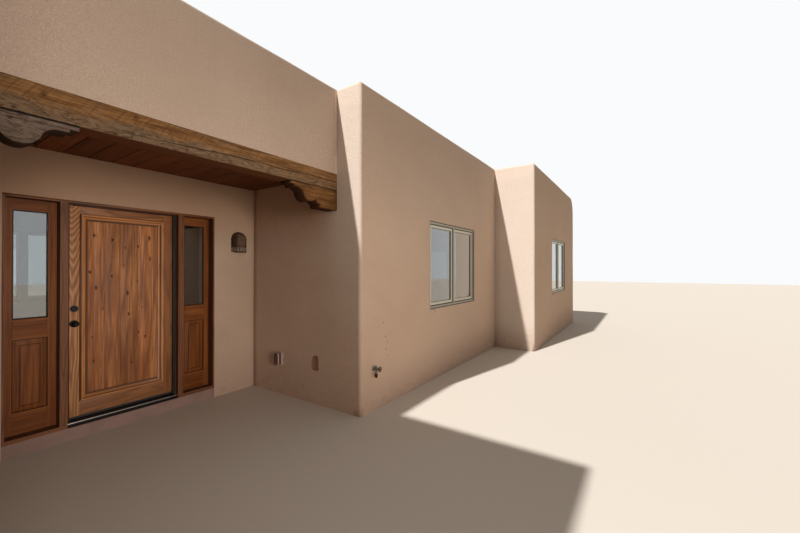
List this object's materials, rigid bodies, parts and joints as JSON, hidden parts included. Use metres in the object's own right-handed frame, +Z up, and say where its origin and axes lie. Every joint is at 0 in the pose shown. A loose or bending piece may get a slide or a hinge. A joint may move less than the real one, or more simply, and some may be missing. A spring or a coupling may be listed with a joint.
{
  "type": "adobe house",
  "caption": "Flat-roofed single-storey adobe house with stucco walls, parapets, a recessed portal with carved corbels, and a hinged front door between sidelights.",
  "frame": {"origin": "middle of the bounding box at ground level, the underside of the walls and the floor slab", "axes": "+X along the front to the right as seen from outside, +Y from the front towards the rear, +Z up"},
  "size_m": [16.143, 8.376, 3.64],
  "materials": {
    "stucco": "matte",
    "floor_finish": "satin",
    "roofing": "matte",
    "clear_glass": "gloss",
    "window_frame": "satin",
    "golden_timber": "matte",
    "grey_timber": "matte",
    "pale_timber": "matte",
    "dark_boards": "satin",
    "frame_wood": "satin",
    "door_wood": "satin",
    "dark_bronze": "satin",
    "black_rubber": "matte",
    "dark_metal": "satin",
    "sconce_metal": "matte",
    "brass": "satin"
  },
  "bodies": {
    "house": {"floor_slab": "floor_finish", "wing_front_wall": "stucco", "wing_west_wall": "stucco", "wing_east_wall": "stucco", "entry_west_pier": "stucco", "entry_east_pier": "stucco", "entry_lintel_wall": "stucco", "entry_curb": "stucco", "portal_parapet": "stucco", "bedroom_west_wall": "stucco", "bedroom_front_wall": "stucco", "end_west_wall": "stucco", "end_front_wall": "stucco", "east_wall": "stucco", "rear_wall": "stucco", "vigas": "pale_timber", "roof_deck": "pale_timber", "roofing": "roofing", "canales": "grey_timber", "portal_beam": "golden_timber", "west_corbel": "grey_timber", "east_corbel": "golden_timber", "portal_ceiling": "dark_boards", "portal_joists": "pale_timber", "door_frame": "frame_wood", "door_threshold": "dark_metal", "west_sidelight": "frame_wood", "east_sidelight": "frame_wood", "sidelight_glass": "clear_glass", "jamb_hinges": "dark_metal", "front_window_frames": "window_frame", "front_window_sashes": "window_frame", "front_window_glass": "clear_glass", "other_window_frames": "window_frame", "other_window_sashes": "window_frame", "other_window_glass": "clear_glass", "wall_sconce": "sconce_metal", "outlet_cover": "stucco", "wall_plate": "stucco", "hose_bib": "brass"},
    "door": {"door_leaf": "door_wood", "door_panel": "door_wood", "door_moulding": "door_wood", "door_knob": "dark_bronze", "deadbolt": "dark_bronze", "door_sweep": "black_rubber", "leaf_hinges": "dark_metal"}
  },
  "joints": [
    {"name": "front_door_hinge", "type": "hinge", "parent": "house", "child": "door", "pos_m": [-1.677, -0.6475, 0.18], "axis": [0, 0, -1], "range_deg": [0, 110]}
  ]
}
